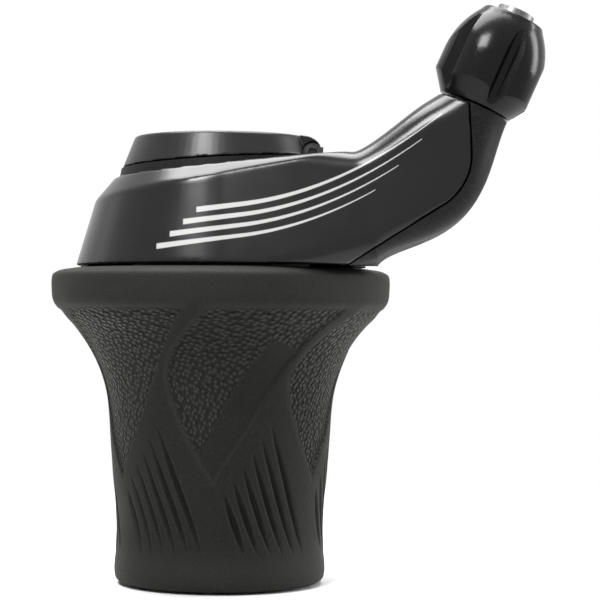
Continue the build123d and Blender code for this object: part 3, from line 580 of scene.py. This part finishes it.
def striped_gloss_finish():
    """Polished black with pale tapering pinstripes printed on the front."""
    black = moulded_finish("cover_gloss", GLOSS_DARK, GLOSS_LIGHT, 0.2, 0.27, 0.3, 0.0006, 0.3)
    shader = black.node_tree.nodes["Principled BSDF"]
    plain = shader.inputs["Base Color"].links[0].from_socket
    place = add_node(black, "ShaderNodeSeparateXYZ")
    join(black, object_points(black, scale=(1 / MM, 1 / MM, 1 / MM)), place.inputs["Vector"])
    along = place.outputs["X"]
    bend = sums(black, "MAXIMUM", sums(black, "SUBTRACT", along, STRIPE_BEND_START), 0.0)
    curve = sums(black, "MULTIPLY", sums(black, "MULTIPLY", bend, bend), STRIPE_BEND)
    sweep = sums(black, "ADD", sums(black, "MULTIPLY", along, STRIPE_SLOPE), curve)
    level = sums(black, "SUBTRACT", place.outputs["Z"], sweep)
    printed = None
    for base, start, end in STRIPES:
        half = stretch(black, along, start, end, *STRIPE_HALF_WIDTHS)
        off = sums(black, "ABSOLUTE", sums(black, "SUBTRACT", level, base), 0.0)
        line = stretch(black, sums(black, "SUBTRACT", off, half), -STRIPE_EDGE, STRIPE_EDGE, 1, 0)
        line = sums(black, "MULTIPLY", line, limits(black, along, start, end, STRIPE_END))
        printed = line if printed is None else sums(black, "MAXIMUM", printed, line)
    front = stretch(black, place.outputs["Y"], *STRIPE_FRONT, 1, 0)
    printed = sums(black, "MULTIPLY", printed, front)
    join(black, mixed_colors(black, printed, plain, STRIPE_COLOR), shader.inputs["Base Color"])
    return black


collar_finish = moulded_finish("collar_gloss", GLOSS_DARK, GLOSS_LIGHT, 0.3, 0.36, 0.3, 0.0006, 0.3)
housing_finish = moulded_finish(
    "housing_plastic", (0.004, 0.004, 0.0042), (0.015, 0.015, 0.0156), 0.48, 0.58, 0.25, 0.03, 0.12
)
knob_finish = moulded_finish(
    "knob_plastic", (0.003, 0.003, 0.0032), (0.006, 0.006, 0.0062), 0.18, 0.25, 0.3, 0.0012, 0.16
)
cover = moulded_copy("cover", "gloss_cover", 0.3, 14, "base")
clothe(cover, striped_gloss_finish())
collar = moulded_copy("clamp_collar", "gloss_collar", 0.2, 4, "base")
clothe(collar, collar_finish)
housing = edged_copy("housing", "matte_housing", 0.2, 16, "base")
clothe(housing, housing_finish)
knob = edged_copy("adjuster_knob", "fluted_knob", 0.24, 20, "knob")
clothe(knob, knob_finish)
bolt = edged_copy("adjuster_bolt", "hollow_bolt", 0.12, 22, "barrel_bolt")
clothe(bolt, metal_finish("aluminium", (0.1, 0.1, 0.103), (0.17, 0.17, 0.174), 0.4, 0.5))

# Parts that stay as the CAD has them
inner_finishes = {
    "steel": metal_finish("steel", (0.42, 0.42, 0.43), (0.58, 0.58, 0.59), 0.36, 0.25),
    "dark_steel": metal_finish("dark_steel", (0.05, 0.05, 0.052), (0.09, 0.09, 0.092), 0.42, 0.25),
    "spring_steel": metal_finish("spring_steel", (0.34, 0.34, 0.35), (0.48, 0.48, 0.49), 0.34, 0.2),
    "brass": metal_finish("brass", (0.62, 0.46, 0.2), (0.76, 0.6, 0.32), 0.34, 0.25),
    "core_plastic": moulded_finish(
        "core_plastic", (0.03, 0.03, 0.031), (0.05, 0.05, 0.051), 0.45, 0.55, 0.3, 0.02
    ),
    "liner": moulded_finish("liner", (0.5, 0.5, 0.48), (0.6, 0.6, 0.58), 0.4, 0.5, 0.3, 0.01),
}
for entry in frame["record"]["subparts"]:
    if entry["material_slot"] in inner_finishes:
        slots = frame["nodes"][entry["node"]].data.materials
        if len(slots) == 0:
            slots.append(None)
        for index in range(len(slots)):
            slots[index] = inner_finishes[entry["material_slot"]]


# Studio


def pale_floor():
    """A pale floor that keeps the shadow and fades into the white surroundings."""
    bpy.ops.object.select_all(action="DESELECT")
    bpy.ops.mesh.primitive_circle_add(vertices=96, radius=FLOOR_RADIUS, fill_type="NGON", location=(0, 0, 0))
    floor = bpy.context.view_layer.objects.active
    floor.name = "studio_floor"
    finish, shader = start_finish("pale_floor", (0.9, 0.9, 0.9), 0.9, specular=0.1)
    clothe(floor, finish)
    away = add_node(finish, "ShaderNodeVectorMath", operation="LENGTH")
    join(finish, object_points(finish), away.inputs[0])
    shown = stretch(finish, away.outputs["Value"], *FLOOR_FADE, 1, 0)
    join(finish, shown, shader.inputs["Alpha"])
    return floor


def soft_lamp(name, place, aim, size, power):
    """A soft area lamp that looks at a point, places in mm."""
    bpy.ops.object.select_all(action="DESELECT")
    bpy.ops.object.light_add(type="AREA", location=[value * MM for value in place])
    lamp = bpy.context.view_layer.objects.active
    lamp.name = name
    lamp.data.shape = "RECTANGLE"
    lamp.data.size = size[0] * MM
    lamp.data.size_y = size[1] * MM
    lamp.data.energy = power
    toward = [(aim[index] - place[index]) * MM for index in range(3)]
    lamp.rotation_euler = Vector(toward).to_track_quat("-Z", "Y").to_euler()
    return lamp


def studio_world():
    """Even white surroundings, white to the camera and to reflections."""
    world = bpy.context.scene.world or bpy.data.worlds.new("studio")
    bpy.context.scene.world = world
    world.use_nodes = True
    nodes = world.node_tree.nodes
    links = world.node_tree.links
    back = nodes["Background"]
    back.inputs["Color"].default_value = (1, 1, 1, 1)
    path = nodes.new("ShaderNodeLightPath")
    seen = path.outputs["Is Camera Ray"]
    for ray in ("Is Glossy Ray", "Is Transmission Ray"):
        either = nodes.new("ShaderNodeMath")
        either.operation = "MAXIMUM"
        links.new(seen, either.inputs[0])
        links.new(path.outputs[ray], either.inputs[1])
        seen = either.outputs["Value"]
    strength = nodes.new("ShaderNodeMapRange")
    strength.inputs["To Min"].default_value = ROOM_LIGHT
    strength.inputs["To Max"].default_value = 1.0
    links.new(seen, strength.inputs["Value"])
    links.new(strength.outputs["Result"], back.inputs["Strength"])


pale_floor()
studio_world()
for lamp in LAMPS:
    soft_lamp(*lamp)

camera_data = bpy.data.cameras.new("photo_camera")
camera_data.lens = CAMERA_LENS
camera_data.sensor_width = 36
camera_data.shift_y = CAMERA_RISE
camera_data.clip_start = 0.01
camera = bpy.data.objects.new("photo_camera", camera_data)
bpy.context.scene.collection.objects.link(camera)
camera.location = [value * MM for value in CAMERA_PLACE]
camera.rotation_euler = (math.radians(90), math.radians(CAMERA_ROLL), 0)
bpy.context.scene.camera = camera
bpy.context.scene.view_settings.view_transform = "Standard"
